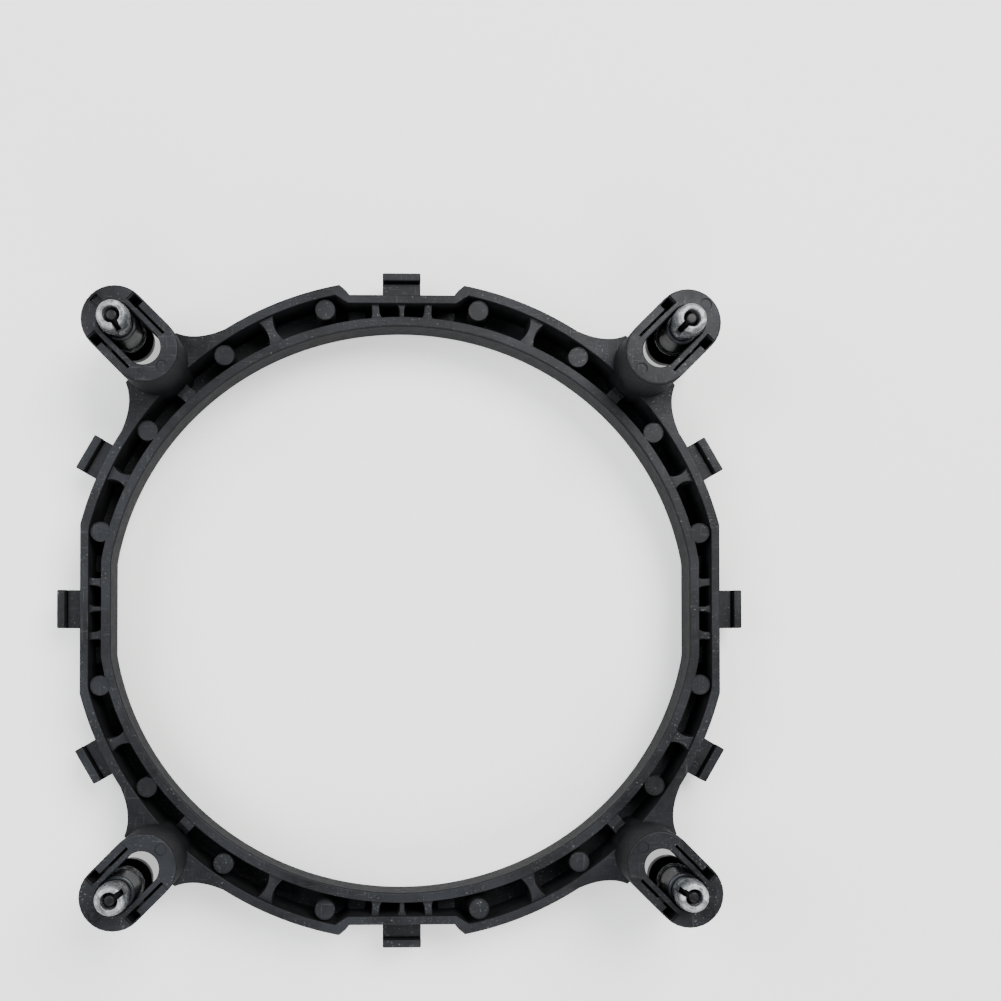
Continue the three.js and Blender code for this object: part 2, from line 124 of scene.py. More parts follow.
HOOK_BOTTOM = 1.0
HOOK_RAMP_TOP = 2.6
HOOK_FACE = 4.8
HOOK_GROOVE_FLOOR = 4.0
HOOK_LIP_TOP = 5.8
HOOK_GROOVE = 0.2
FLAT_HOOK = {"width": 5.65, "reach": 3.9, "lip": 1.15}
ROUND_HOOK = {"width": 5.6, "reach": 3.75, "lip": 1.3}
ROUND_HOOK_DIRECTION = 30
ROUND_HOOK_OFFSET = 3.15
HOOK_ROOT = 0.6

# sides of the square hole patterns; the pins rest at the widest one
HOLE_PATTERNS = [72, 75, 80]
PIN_R = HOLE_PATTERNS[-1] / math.sqrt(2)
BUSH = {"outer": 2.45, "inner": 1.95, "low": 8.9, "high": 13.9}
SLEEVE = {
    "flange_r": 2.75, "flange_low": 8.2, "flange_high": 8.65, "neck_r": 1.75, "shoulder": 14.1,
    "body_r": 1.95, "barb_low": 16.6, "barb_high": 17.1, "barb_r": 2.3, "top": 18.9,
    "top_r": 2.05, "bore": 1.15}
SLEEVE_SLIT = {"width": 0.85, "low": 14.8, "reach": 3.0}
SLEEVE_TURNS = {"back_right": 0, "back_left": -20, "front_left": -11, "front_right": 18}
PLUNGER = {
    "head_r": 3.1, "head_low": 3.4, "head_high": 5.0, "shaft_r": 0.8, "taper_start": 17.8,
    "tip_r": 0.7, "top": 18.6}
EAR = {"half_length": 3.6, "width": 1.4, "low": 3.7, "high": 4.7}
DRIVER_SLOT = {"length": 3.2, "width": 0.7, "depth": 0.7}

# ---- Finer detail than the CAD model's, in millimetres and degrees -------------------------------

RIM_ROUND = 0.25
CHANNEL_ROUND = 0.12
CHANNEL_DRAFT = 0.08
SEAT_ROUND = 0.12
PAD_RIM_TOP = 7.95
PAD_RIM_WIDTH = 0.08
HOOK_ROUND = 0.18
HOOK_CHAMFER = 0.1
HOOK_SIDE_BEVEL = 0.12
RIB_ROUND = 0.15
RIB_DRAFT = 0.1
LOW_BLOCK_CORNER = 0.2
LUG_CORNER = 0.15
LUG_ROUND = 0.1
FOOT_ROUND = 0.3
SLOT_ROUND = 0.2
NOTCH_ROUND = 0.14
ROUND_MARK_RIM = 0.06
SQUARE_MARK_RIM = 0.08
EAR_CORNER = 0.25
EAR_ROUND = 0.12
DRIVER_SLOT_CORNER = 0.1
DRIVER_SLOT_RIM = 0.08
SLIT_RIM = 0.1
SMOOTH_ANGLE = 38.0

# how far a solid runs into the one that it is joined to, or past the face that it cuts
OVERLAP = 0.2
WALL_OVERLAP = 0.3
DEEP_OVERLAP = 0.5
NOTCH_OVERLAP = 0.8

# how finely the round stretches are drawn
OUTLINE_STEP = 1.0
ROUND_STEPS = 3
ARC_STEPS = 16
CORNER_STEPS = 4
CIRCLE_STEPS = 40
MARK_STEPS = 32
CURVE_STEPS = 10
ARM_EDGE_STEPS = 14
ARM_BACK_STEPS = 12
PIN_STEPS = 64


# ---- Mesh helpers: everything is built in millimetres and scaled once ---------------------------

def new_object(name, vertices, faces):
    mesh = bpy.data.meshes.new(name)
    mesh.from_pydata([tuple(v) for v in vertices], [], faces)
    mesh.validate()
    work = bmesh.new()
    work.from_mesh(mesh)
    bmesh.ops.recalc_face_normals(work, faces=work.faces)
    work.to_mesh(mesh)
    work.free()
    obj = bpy.data.objects.new(name, mesh)
    bpy.context.scene.collection.objects.link(obj)
    return obj


def loft(loops):
    """A closed solid through outlines of equal point count, lowest first.

    Each outline runs counter-clockwise as seen from above.
    """
    count = len(loops[0])
    vertices = np.concatenate(loops)
    faces = [list(range(count))[::-1]]
    for level in range(len(loops) - 1):
        low = level * count
        for i in range(count):
            j = (i + 1) % count
            faces.append([low + i, low + j, low + count + j, low + count + i])
    top = (len(loops) - 1) * count
    faces.append([top + i for i in range(count)])
    return vertices, faces


def join(solids):
    """Several separate solids as one list of vertices and faces."""
    vertices, faces, start = [], [], 0
    for solid_vertices, solid_faces in solids:
        vertices.append(np.asarray(solid_vertices))
        faces.extend([[start + i for i in face] for face in solid_faces])
        start += len(solid_vertices)
    return np.concatenate(vertices), faces


def turned_by(solid, degrees):
    """The solid turned about the Z axis."""
    a = math.radians(degrees)
    rotation = np.array([[math.cos(a), -math.sin(a), 0], [math.sin(a), math.cos(a), 0], [0, 0, 1]])
    return solid[0] @ rotation.T, solid[1]


def moved_by(solid, x, y):
    return solid[0] + np.array([x, y, 0.0]), solid[1]


def at_height(points, z):
    points = np.asarray(points)
    return np.column_stack([points, np.full(len(points), z)])


def slab(outline, low, high, round_low=0.0, round_high=0.0, draft=0.0):
    """A solid between two heights, rounded at its edges and larger by the draft at its lower end."""
    loops = []
    if round_low > 0:
        for k in range(ROUND_STEPS + 1):
            t = math.pi / 2 * (1 - k / ROUND_STEPS)
            grow = -round_low * (1 - math.cos(t)) + draft
            loops.append(at_height(outline(grow), low + round_low * (1 - math.sin(t))))
    else:
        loops.append(at_height(outline(draft), low))
    if round_high > 0:
        for k in range(ROUND_STEPS + 1):
            t = math.pi / 2 * k / ROUND_STEPS
            grow = -round_high * (1 - math.cos(t))
            loops.append(at_height(outline(grow), high - round_high * (1 - math.sin(t))))
    else:
        loops.append(at_height(outline(0.0), high))
    return loft(loops)


def cutter(outline, low, high, flare_low=0.0, flare_high=0.0, draft=0.0, past=WALL_OVERLAP):
    """A solid that cuts a hole. Where it leaves a face it widens by the draft, and rounds the rim."""
    loops = []
    if flare_low > 0:
        loops.append(at_height(outline(flare_low + draft), low - past))
        for k in range(ROUND_STEPS + 1):
            t = math.pi / 2 * (1 - k / ROUND_STEPS)
            grow = flare_low * (1 - math.cos(t)) + draft
            loops.append(at_height(outline(grow), low + flare_low * (1 - math.sin(t))))
    else:
        loops.append(at_height(outline(0.0), low))
    if flare_high > 0:
        for k in range(ROUND_STEPS + 1):
            t = math.pi / 2 * k / ROUND_STEPS
            grow = flare_high * (1 - math.cos(t)) + draft
            loops.append(at_height(outline(grow), high - flare_high * (1 - math.sin(t))))
        loops.append(at_height(outline(flare_high + draft), high + past))
    else:
        loops.append(at_height(outline(0.0), high))
    return loft(loops)


def boolean(target, solid, operation):
    """Joins or cuts the target with a solid, or with several that don't touch each other."""
    other = new_object("operand", *solid)
    modifier = target.modifiers.new("boolean", "BOOLEAN")
    modifier.operation = operation
    modifier.solver = "MANIFOLD"
    modifier.object = other
    depsgraph = bpy.context.evaluated_depsgraph_get()
    result = bpy.data.meshes.new_from_object(target.evaluated_get(depsgraph))
    target.modifiers.clear()
    old = target.data
    target.data = result
    bpy.data.meshes.remove(old)
    data = other.data
    bpy.data.objects.remove(other)
    bpy.data.meshes.remove(data)
    return target


def mesh_of(obj):
    """The object's vertices and faces; the object is removed."""
    mesh = obj.data
    vertices = np.array([v.co for v in mesh.vertices])
    faces = [list(p.vertices) for p in mesh.polygons]
    bpy.data.objects.remove(obj)
    bpy.data.meshes.remove(mesh)
    return vertices, faces


def finish_mesh(obj):
    """Scales to metres, shades smooth between sharp creases, and keeps flat faces flat."""
    mesh = obj.data
    mesh.transform(Matrix.Scale(MM, 4))
    mesh.shade_smooth()
    mesh.set_sharp_from_angle(angle=math.radians(SMOOTH_ANGLE))
    weighted = obj.modifiers.new("weighted normals", "WEIGHTED_NORMAL")
    weighted.keep_sharp = True
    weighted.weight = 100
    mesh.update()
    return obj


# ---- Outlines ------------------------------------------------------------------------------------

def rim_radius(angle, round_r, flat_x, flat_y, flat_half_length):
    """Distance from the centre to a circle with a flat each side and a shallow recess front and back."""
    across = abs(math.cos(angle))
    along = abs(math.sin(angle))
    radius = min(round_r, flat_x / max(across, NEARLY_ZERO))
    if along > across:
        on_flat = flat_y / along
        if on_flat * across <= flat_half_length:
            return on_flat
        slope = END_FLAT_CORNER_SLOPE
        on_corner = (flat_half_length - slope * flat_y) / (across - slope * along)
        if on_corner > 0:
            radius = min(radius, on_corner)
    return radius


def mirrored(degrees):
    """A direction in the first quarter and its mirror images in the other three."""
    return [degrees, 180 - degrees, 180 + degrees, 360 - degrees]


def outline_angles():
    """Even directions, with every corner of the flats put in exactly."""
    quarter = list(np.arange(0.0, 90.0, OUTLINE_STEP))
    quarter.append(math.degrees(math.acos(SIDE_FLAT_X / RING_OUTER_R)))
    quarter.append(90 - math.degrees(math.atan(END_FLAT_HALF_LENGTH / END_FLAT_Y)))
    quarter.append(90 - math.degrees(math.asin(END_RECESS_HALF_LENGTH / RING_OUTER_R)))
    angles = {90.0, 270.0}
    for angle in quarter:
        for degrees in mirrored(angle):
            angles.add(round(degrees % 360, 6))
    return np.radians(sorted(angles))


ANGLES = outline_angles()


def polar(radius_at):
    return np.array([[radius_at(a) * math.cos(a), radius_at(a) * math.sin(a)] for a in ANGLES])


def outer_outline(grow):
    return polar(lambda a: rim_radius(
        a, RING_OUTER_R + grow, SIDE_FLAT_X + grow, END_FLAT_Y + grow, END_FLAT_HALF_LENGTH))


def channel_outer_radius(angle, grow=0.0):
    return rim_radius(
        angle, RING_OUTER_R - OUTER_WALL + grow, SIDE_FLAT_X - FLAT_WALL + grow,
        END_FLAT_Y - FLAT_WALL + grow, END_FLAT_HALF_LENGTH + FLAT_WALL / 2)


def hole_radius(angle, grow=0.0):
    a = HOLE_HALF_X + grow
    b = HOLE_HALF_Y + grow
    ellipse = 1 / math.hypot(math.cos(angle) / a, math.sin(angle) / b)
    return min(ellipse, (HOLE_FLAT_X + grow) / max(abs(math.cos(angle)), NEARLY_ZERO))


def hole_outline(grow):
    return polar(lambda a: hole_radius(a, grow))


def seat_outline(grow):
    """The hole's outline grown to an edge of the cooler's seat, and kept inside the ring's outside."""
    outside = outer_outline(0.0)
    return np.minimum(np.abs(hole_outline(grow)), np.abs(outside)) * np.sign(outside)


def channel_outer_outline(grow):
    return polar(lambda a: channel_outer_radius(a, grow))


def arc(cx, cy, radius, start, end, steps=ARC_STEPS):
    angles = np.radians(np.linspace(start, end, steps + 1))
    return np.column_stack([cx + radius * np.cos(angles), cy + radius * np.sin(angles)])


def circle(cx, cy, radius, steps=CIRCLE_STEPS):
    def outline(grow):
        angles = np.linspace(0, 2 * math.pi, steps, endpoint=False)
        r = radius + grow
        return np.column_stack([cx + r * np.cos(angles), cy + r * np.sin(angles)])
    return outline


def stadium(start, end, half_width):
    """An outline along the X axis with a half circle at each end."""
    def outline(grow):
        right = arc(end - half_width, 0, half_width + grow, -90, 90)
        left = arc(start + half_width, 0, half_width + grow, 90, 270)
        return np.concatenate([right, left])
    return outline


def rectangle(x0, x1, y0, y1, corner=0.0):
    def outline(grow):
        left, right, low, high = x0 - grow, x1 + grow, y0 - grow, y1 + grow
        r = max(corner + grow, 0.0)
        if corner <= 0:
            return np.array([[left, low], [right, low], [right, high], [left, high]])
        return np.concatenate([
            arc(right - r, low + r, r, -90, 0, CORNER_STEPS),
            arc(right - r, high - r, r, 0, 90, CORNER_STEPS),
            arc(left + r, high - r, r, 90, 180, CORNER_STEPS),
            arc(left + r, low + r, r, 180, 270, CORNER_STEPS)])
    return outline


def quadratic(p0, p1, p2, steps=CURVE_STEPS):
    t = np.linspace(0, 1, steps + 1)[:, None]
    p0, p1, p2 = np.array(p0), np.array(p1), np.array(p2)
    return (1 - t) ** 2 * p0 + 2 * t * (1 - t) * p1 + t ** 2 * p2


def rib_outline(start, end, waist, inner_flare, outer_flare):
    """A rib along the X axis that widens from its waist to each end."""
    mid = (start + end) / 2

    def outline(grow):
        def side(sign):
            inner = quadratic(
                (start, sign * (inner_flare / 2 + grow)),
                ((start + mid) / 2, sign * (waist / 2 + grow)),
                (mid, sign * (waist / 2 + grow)))
            outer = quadratic(
                (mid, sign * (waist / 2 + grow)),
                ((mid + end) / 2, sign * (waist / 2 + grow)),
                (end, sign * (outer_flare / 2 + grow)))
            return np.concatenate([inner, outer[1:]])
        return np.concatenate([side(-1), side(1)[::-1]])
    return outline


def arm_outline(grow):
    """The curved web between the ring's outside and a foot."""
    spread = math.radians(ARM_SPREAD)
    start = (RING_OUTER_R * math.cos(spread), RING_OUTER_R * math.sin(spread) + grow)
    bend = (ARM_BEND[0], ARM_BEND[1] + grow)
    end = (ARM_END[0], ARM_END[1] + grow)
    edge = quadratic(start, bend, end, ARM_EDGE_STEPS)
    back = arc(0, 0, RING_OUTER_R - ARM_ROOT_INSET, ARM_SPREAD, -ARM_SPREAD, ARM_BACK_STEPS)
    mirror = edge * np.array([1, -1])
    return np.concatenate([mirror, edge[::-1], back])


# ---- Ring frame ----------------------------------------------------------------------------------

def rounded_top(levels, height, radius, base, direction):
    """Adds the levels of a quarter round below a height, which ends at base + direction * radius."""
    for k in range(ROUND_STEPS + 1):
        t = math.pi / 2 * k / ROUND_STEPS
        grow = base + direction * radius * (1 - math.cos(t))
        levels.append((height - radius * (1 - math.sin(t)), grow))


def through(outline, levels):
    """A solid through the outline's sizes at the levels, each of which is (height, grow)."""
    return loft([at_height(outline(grow), z) for z, grow in levels])


def ring_profile():
    """The double-walled ring with its channel and seat, before ribs and feet."""
    sides = []
    rounded_top(sides, RING_HEIGHT, RIM_ROUND, 0.0, -1)
    ridge_out = SEAT_WIDTH + RIDGE_WIDTH
    seat = [at_height(seat_outline(ridge_out), COOLER_FACE_Z)]
    walls = [at_height(outer_outline(grow), z) for z, grow in [(SHOULDER_Z, 0.0)] + sides]
    body = new_object("ring_shell", *loft(seat + walls))
    ridge = through(seat_outline, [
        (0.0, ridge_out - SEAT_ROUND),
        (SEAT_ROUND, ridge_out),
        (COOLER_FACE_Z + WALL_OVERLAP, ridge_out)])
    boolean(body, ridge, "UNION")
    inside_ridge = through(seat_outline, [
        (-OVERLAP, SEAT_WIDTH + SEAT_ROUND),
        (0.0, SEAT_WIDTH + SEAT_ROUND),
        (SEAT_ROUND, SEAT_WIDTH),
        (COOLER_FACE_Z, SEAT_WIDTH)])
    boolean(body, inside_ridge, "DIFFERENCE")
    channel = new_object("channel", *cutter(
        channel_outer_outline, CHANNEL_FLOOR, RING_HEIGHT, flare_high=CHANNEL_ROUND,
        draft=CHANNEL_DRAFT))
    wall_top = INNER_WALL - CHANNEL_DRAFT
    core = [(CHANNEL_FLOOR - DEEP_OVERLAP, INNER_WALL)]
    rounded_top(core, RING_HEIGHT, CHANNEL_ROUND, wall_top, -1)
    core.append((RING_HEIGHT + DEEP_OVERLAP, wall_top - CHANNEL_ROUND))
    boolean(channel, through(hole_outline, core), "DIFFERENCE")
    boolean(body, mesh_of(channel), "DIFFERENCE")
    return body


def hole_cutter():
    """The hole, which narrows to the board side and is chamfered on the cooler side."""
    chamfered = HOLE_DRAFT + HOLE_CHAMFER
    levels = [
        (-DEEP_OVERLAP, chamfered),
        (COOLER_FACE_Z, chamfered),
        (COOLER_FACE_Z + HOLE_CHAMFER, HOLE_DRAFT)]
    rounded_top(levels, RING_HEIGHT, RIM_ROUND, 0.0, 1)
    levels.append((RING_HEIGHT + DEEP_OVERLAP, RIM_ROUND))
    return through(hole_outline, levels)


def channel_rib(degrees, waist, inner_flare, outer_flare):
    angle = math.radians(degrees)
    start = hole_radius(angle, INNER_WALL) - WALL_OVERLAP
    end = channel_outer_radius(angle) + WALL_OVERLAP
    outline = rib_outline(start, end, waist, inner_flare, outer_flare)
    rib = slab(outline, CHANNEL_FLOOR - OVERLAP, RIB_TOP, round_high=RIB_ROUND, draft=RIB_DRAFT)
    return turned_by(rib, degrees)


def channel_ribs():
    ribs = []
    for base in RIB_ANGLES:
        for degrees in mirrored(base):
            ribs.append(channel_rib(degrees, RIB_WAIST, RIB_FLARE, RIB_FLARE))
    for flat in (0, 90, 180, 270):
        ribs.append(channel_rib(flat, MID_RIB_WAIST, MID_RIB_WAIST, MID_RIB_FLARE))
        for side in (-1, 1):
            ribs.append(channel_rib(
                flat + side * FLAT_RIB_ANGLE, FLAT_RIB_WAIST, FLAT_RIB_FLARE, FLAT_RIB_WAIST))
            ribs.append(low_block(flat + side * LOW_BLOCK_ANGLE))
    return join(ribs)


def low_block(degrees):
    angle = math.radians(degrees)
    start = hole_radius(angle, INNER_WALL)
    end = channel_outer_radius(angle)
    half = LOW_BLOCK_SIZE / 2
    inner_end = start + (end - start) * LOW_BLOCK_START
    outline = rectangle(inner_end, end + OVERLAP, -half, half, corner=LOW_BLOCK_CORNER)
    block = slab(outline, CHANNEL_FLOOR - OVERLAP, LOW_BLOCK_TOP, round_high=RIB_ROUND)
    return turned_by(block, degrees)


def pads():
    """The round posts of the channel, and the shallow recesses that leave a thin rim on each."""
    posts, recesses = [], []
    for base in PAD_ANGLES:
        for degrees in mirrored(base):
            a = math.radians(degrees)
            x = PAD_CENTRE_R * math.cos(a)
            y = PAD_CENTRE_R * math.sin(a)
            posts.append(slab(circle(x, y, PAD_RADIUS), CHANNEL_FLOOR - OVERLAP, PAD_RIM_TOP))
            recesses.append(cutter(
                circle(x, y, PAD_RADIUS - PAD_RIM_WIDTH), PAD_TOP, RING_HEIGHT,
                flare_high=PAD_RIM_WIDTH))
    return join(posts), join(recesses)


def hook(root, size):
    """A hook pointing along +X, with a ramp on the cooler side and a grooved catch on the board side."""
    tip = root + size["reach"]
    lip = tip - size["lip"]
    groove = lip - HOOK_GROOVE
    r = HOOK_ROUND
    cut = r * 0.3  # how far the middle of a corner's round lies in from both its faces
    points = np.array([
        (root - HOOK_ROOT, HOOK_BOTTOM), (root + HOOK_ROOT, HOOK_BOTTOM),
        (tip - r, HOOK_RAMP_TOP - r / 2), (tip, HOOK_RAMP_TOP + r),
        (tip, HOOK_LIP_TOP - r), (tip - cut, HOOK_LIP_TOP - cut), (tip - r, HOOK_LIP_TOP),
        (lip + r, HOOK_LIP_TOP), (lip + cut, HOOK_LIP_TOP - cut), (lip, HOOK_LIP_TOP - r),
        (lip, HOOK_GROOVE_FLOOR), (groove, HOOK_GROOVE_FLOOR),
        (groove, HOOK_FACE - HOOK_CHAMFER), (groove - HOOK_CHAMFER, HOOK_FACE),
        (root - HOOK_ROOT, HOOK_FACE)])
    middle = points.mean(axis=0)
    half = size["width"] / 2
    bevel = HOOK_SIDE_BEVEL
    loops = []
    for y, shrink in ((-half, bevel), (-half + bevel, 0.0), (half - bevel, 0.0), (half, bevel)):
        offset = points - middle
        reach = np.linalg.norm(offset, axis=1, keepdims=True)
        shrunk = points - offset / reach * shrink
        loops.append(np.column_stack([shrunk[:, 0], np.full(len(shrunk), y), shrunk[:, 1]]))
    vertices, faces = loft(loops)
    return vertices, [face[::-1] for face in faces]


def hooks():
    all_hooks = []
    for degrees, root in ((0, SIDE_FLAT_X), (90, END_FLAT_Y), (180, SIDE_FLAT_X), (270, END_FLAT_Y)):
        all_hooks.append(turned_by(hook(root, FLAT_HOOK), degrees))
    root = math.sqrt(RING_OUTER_R ** 2 - ROUND_HOOK_OFFSET ** 2)
    signs = (-1, 1, -1, 1)
    for sign, degrees in zip(signs, mirrored(ROUND_HOOK_DIRECTION)):
        shifted = moved_by(hook(root, ROUND_HOOK), 0, sign * ROUND_HOOK_OFFSET)
        all_hooks.append(turned_by(shifted, degrees))
    return join(all_hooks)


def feet_of(make):
    """What is made for a foot that points along +X, at all four feet."""
    return join([turned_by(make(), degrees) for degrees in FOOT_ANGLES.values()])


def foot_shell():
    outline = stadium(FOOT_START, FOOT_END, FOOT_HALF_WIDTH)
    return slab(outline, 0.0, FOOT_TOP, round_low=FOOT_ROUND, round_high=FOOT_ROUND)


def foot_arm():
    return slab(arm_outline, ARM_BOTTOM, RING_HEIGHT, round_low=FOOT_ROUND, round_high=RIM_ROUND)


def foot_rib():
    outline = rectangle(
        FOOT_BLOCK_FROM, FOOT_START + DEEP_OVERLAP, -FOOT_RIB_HALF_WIDTH, FOOT_RIB_HALF_WIDTH)
    return slab(outline, CHANNEL_FLOOR - OVERLAP, FOOT_RIB_TOP)


def foot_lug():
    outline = rectangle(
        FOOT_BLOCK_FROM, FOOT_BLOCK_TO, -FOOT_RIB_HALF_WIDTH, FOOT_RIB_HALF_WIDTH,
        corner=LUG_CORNER)
    return slab(outline, CHANNEL_FLOOR - OVERLAP, PAD_TOP, round_high=LUG_ROUND)


def well_cut():
    outline = stadium(FOOT_START + WELL_WALL, FOOT_END - WELL_WALL, FOOT_HALF_WIDTH - WELL_WALL)
    return cutter(outline, 0.0, WELL_TOP, flare_low=SLOT_ROUND)


def deep_slot_cut():
    return slab(stadium(*DEEP_SLOT), WELL_TOP - OVERLAP, DEEP_SLOT_TOP)


def face_slot_cut():
    return cutter(stadium(*FACE_SLOT), DEEP_SLOT_TOP - OVERLAP, FOOT_TOP, flare_high=SLOT_ROUND)


def foot_mark(radius, is_square):
    """The shallow round mark of an ejector, or the deeper square one of the mould's insert."""
    if is_square:
        half = SQUARE_MARK["side"] / 2
        outline = rectangle(radius - half, radius + half, -half, half)
        low = FOOT_TOP - SQUARE_MARK["depth"]
        return cutter(outline, low, FOOT_TOP, flare_high=SQUARE_MARK_RIM)
    outline = circle(radius, 0, FOOT_MARK_RADIUS, MARK_STEPS)
    return cutter(outline, FOOT_TOP - FOOT_MARK_DEPTH, FOOT_TOP, flare_high=ROUND_MARK_RIM)


def foot_marks():
    inner, outer = FOOT_MARK_RS
    marks = []
    for place, degrees in FOOT_ANGLES.items():
        marks.append(turned_by(foot_mark(inner, False), degrees))
        marks.append(turned_by(foot_mark(outer, place == SQUARE_MARK["foot"]), degrees))
    return join(marks)


def both_sides(x0, x1, y0, y1, low, high):
    """A block, and its mirror image across the foot."""
    return join([
        slab(rectangle(x0, x1, y0, y1), low, high),
        slab(rectangle(x0, x1, -y1, -y0), low, high)])


def strip_cuts():
    return both_sides(
        STRIP_FROM, STRIP_TO, STRIP_INNER, FOOT_HALF_WIDTH + OVERLAP,
        FOOT_TOP - STRIP_DEPTH, FOOT_TOP + OVERLAP)


def slit_cuts():
    return both_sides(
        STRIP_FROM, SLIT_END + OVERLAP, STRIP_INNER, STRIP_INNER + SLIT_WIDTH,
        SLIT_BOTTOM, FOOT_TOP + OVERLAP)


def notch_cuts():
    far = FOOT_HALF_WIDTH - NOTCH_SKIN
    notches = []
    for low, high in ((STRIP_INNER, far), (-far, -STRIP_INNER)):
        outline = rectangle(SLIT_END, SLIT_END + NOTCH_WIDTH, low, high)
        notches.append(cutter(
            outline, WELL_TOP - OVERLAP, FOOT_TOP - STRIP_DEPTH, flare_high=NOTCH_ROUND,
            past=NOTCH_OVERLAP))
    return join(notches)


def rim_notch_cuts():
    """Pairs of small notches in the foot's lower rim, one pair for each hole pattern."""
    inner = FOOT_HALF_WIDTH - WELL_WALL - OVERLAP
    cuts = []
    for pattern in HOLE_PATTERNS:
        middle = pattern / math.sqrt(2)
        cuts.append(both_sides(
            middle - NOTCH_WIDTH / 2, middle + NOTCH_WIDTH / 2, inner, FOOT_HALF_WIDTH + OVERLAP,
            -OVERLAP, RIM_NOTCH_DEPTH))
    return join(cuts)


def ring_frame():
    """The whole moulding: everything that stands on the ring is joined, and then the holes are cut."""
    ring = ring_profile()
    posts, recesses = pads()
    for solid in (channel_ribs(), posts, hooks()):
        boolean(ring, solid, "UNION")
    for make in (foot_arm, foot_shell, foot_rib, foot_lug):
        boolean(ring, feet_of(make), "UNION")
    for solid in (hole_cutter(), recesses, foot_marks()):
        boolean(ring, solid, "DIFFERENCE")
    for make in (
            well_cut, deep_slot_cut, face_slot_cut, strip_cuts, slit_cuts, notch_cuts,
            rim_notch_cuts):
        boolean(ring, feet_of(make), "DIFFERENCE")
    return finish_mesh(ring)


# ---- Push-pins ------------------------------------------------------------------------------------

def rounded(profile):
    """The points of a profile of (radius, z, corner size), each corner drawn as a short curve."""
    points = []
    count = len(profile)
    for i, (r, z, corner) in enumerate(profile):
        here = np.array([r, z])
        if corner <= 0:
            points.append(here)
            continue
        before = np.array(profile[i - 1][:2]) - here
        after = np.array(profile[(i + 1) % count][:2]) - here
        start = here + before / np.linalg.norm(before) * corner
        end = here + after / np.linalg.norm(after) * corner
        points.extend(quadratic(start, here, end, CORNER_STEPS))
    return points


def turned(profile, hollow):
    """A solid turned about the Z axis.

    A hollow one's profile is a closed loop off the axis; otherwise it starts and ends on the axis.
    """
    points = rounded(profile)
    if not hollow:
        points = points[1:-1]
    turns = np.linspace(0, 2 * math.pi, PIN_STEPS, endpoint=False)
    vertices = [(r * math.cos(t), r * math.sin(t), z) for r, z in points for t in turns]
    faces = []
    last = len(points) if hollow else len(points) - 1
    for level in range(last):
        low = level * PIN_STEPS
        high = (level + 1) % len(points) * PIN_STEPS
        for i in range(PIN_STEPS):
            j = (i + 1) % PIN_STEPS
            faces.append([low + i, low + j, high + j, high + i])
    if not hollow:
        faces.append(list(range(PIN_STEPS))[::-1])
        top = (len(points) - 1) * PIN_STEPS
        faces.append([top + i for i in range(PIN_STEPS)])
    return np.array(vertices), faces


def guide_bush():
    """The plain collar that slides in the foot's deep slot."""
    profile = [
        (BUSH["inner"], BUSH["low"], 0.08),
        (BUSH["outer"], BUSH["low"], 0.15),
        (BUSH["outer"], BUSH["high"], 0.3),
        (BUSH["inner"], BUSH["high"], 0.08)]
    return new_object("bush", *turned(profile, hollow=True))


def expanding_sleeve():
    """The flanged sleeve with its barb, split on the side that faces the middle of the ring."""
    profile = [
        (SLEEVE["bore"], SLEEVE["flange_low"], 0.05),
        (SLEEVE["flange_r"], SLEEVE["flange_low"], 0.15),
        (SLEEVE["flange_r"], SLEEVE["flange_high"], 0.15),
        (SLEEVE["neck_r"], SLEEVE["flange_high"], 0.08),
        (SLEEVE["neck_r"], SLEEVE["shoulder"], 0.05),
        (SLEEVE["body_r"], SLEEVE["shoulder"], 0.1),
        (SLEEVE["body_r"], SLEEVE["barb_low"], 0.1),
        (SLEEVE["barb_r"], SLEEVE["barb_low"], 0.08),
        (SLEEVE["barb_r"], SLEEVE["barb_high"], 0.2),
        (SLEEVE["top_r"], SLEEVE["top"], 0.55),
        (SLEEVE["bore"], SLEEVE["top"], 0.25)]
    sleeve = new_object("sleeve", *turned(profile, hollow=True))
    half = SLEEVE_SLIT["width"] / 2
    outline = rectangle(-SLEEVE_SLIT["reach"], 0.0, -half, half)
    slit = cutter(outline, SLEEVE_SLIT["low"], SLEEVE["top"], flare_high=SLIT_RIM)
    return boolean(sleeve, slit, "DIFFERENCE")


def plunger():
    """The pin that is pressed through the sleeve, with a round head, two ears and a driver slot."""
    profile = [
        (0, PLUNGER["head_low"], 0),
        (PLUNGER["head_r"], PLUNGER["head_low"], 0.25),
        (PLUNGER["head_r"], PLUNGER["head_high"], 0.2),
        (PLUNGER["shaft_r"], PLUNGER["head_high"], 0.15),
        (PLUNGER["shaft_r"], PLUNGER["taper_start"], 0.2),
        (PLUNGER["tip_r"], PLUNGER["top"], 0.2),
        (0, PLUNGER["top"], 0)]
    pin = new_object("plunger", *turned(profile, hollow=False))
    half_width = EAR["width"] / 2
    half_length = EAR["half_length"]
    outline = rectangle(-half_width, half_width, -half_length, half_length, corner=EAR_CORNER)
    ears = slab(outline, EAR["low"], EAR["high"], round_low=EAR_ROUND, round_high=EAR_ROUND)
    boolean(pin, ears, "UNION")
    half_length = DRIVER_SLOT["length"] / 2
    half_width = DRIVER_SLOT["width"] / 2
    outline = rectangle(
        -half_length, half_length, -half_width, half_width, corner=DRIVER_SLOT_CORNER)
    head = PLUNGER["head_low"]
    slot = cutter(outline, head, head + DRIVER_SLOT["depth"], flare_low=DRIVER_SLOT_RIM)
    return boolean(pin, slot, "DIFFERENCE")


def placed(obj, degrees, own_turn=0):
    """Turns a pin's piece on its own axis, Z, and moves it to the outer end of its foot's slot."""
    turn = Matrix.Rotation(math.radians(degrees), 4, "Z")
    own = Matrix.Rotation(math.radians(own_turn), 4, "Z")
    obj.data.transform(turn @ Matrix.Translation((PIN_R, 0, 0)) @ own)
    return finish_mesh(obj)


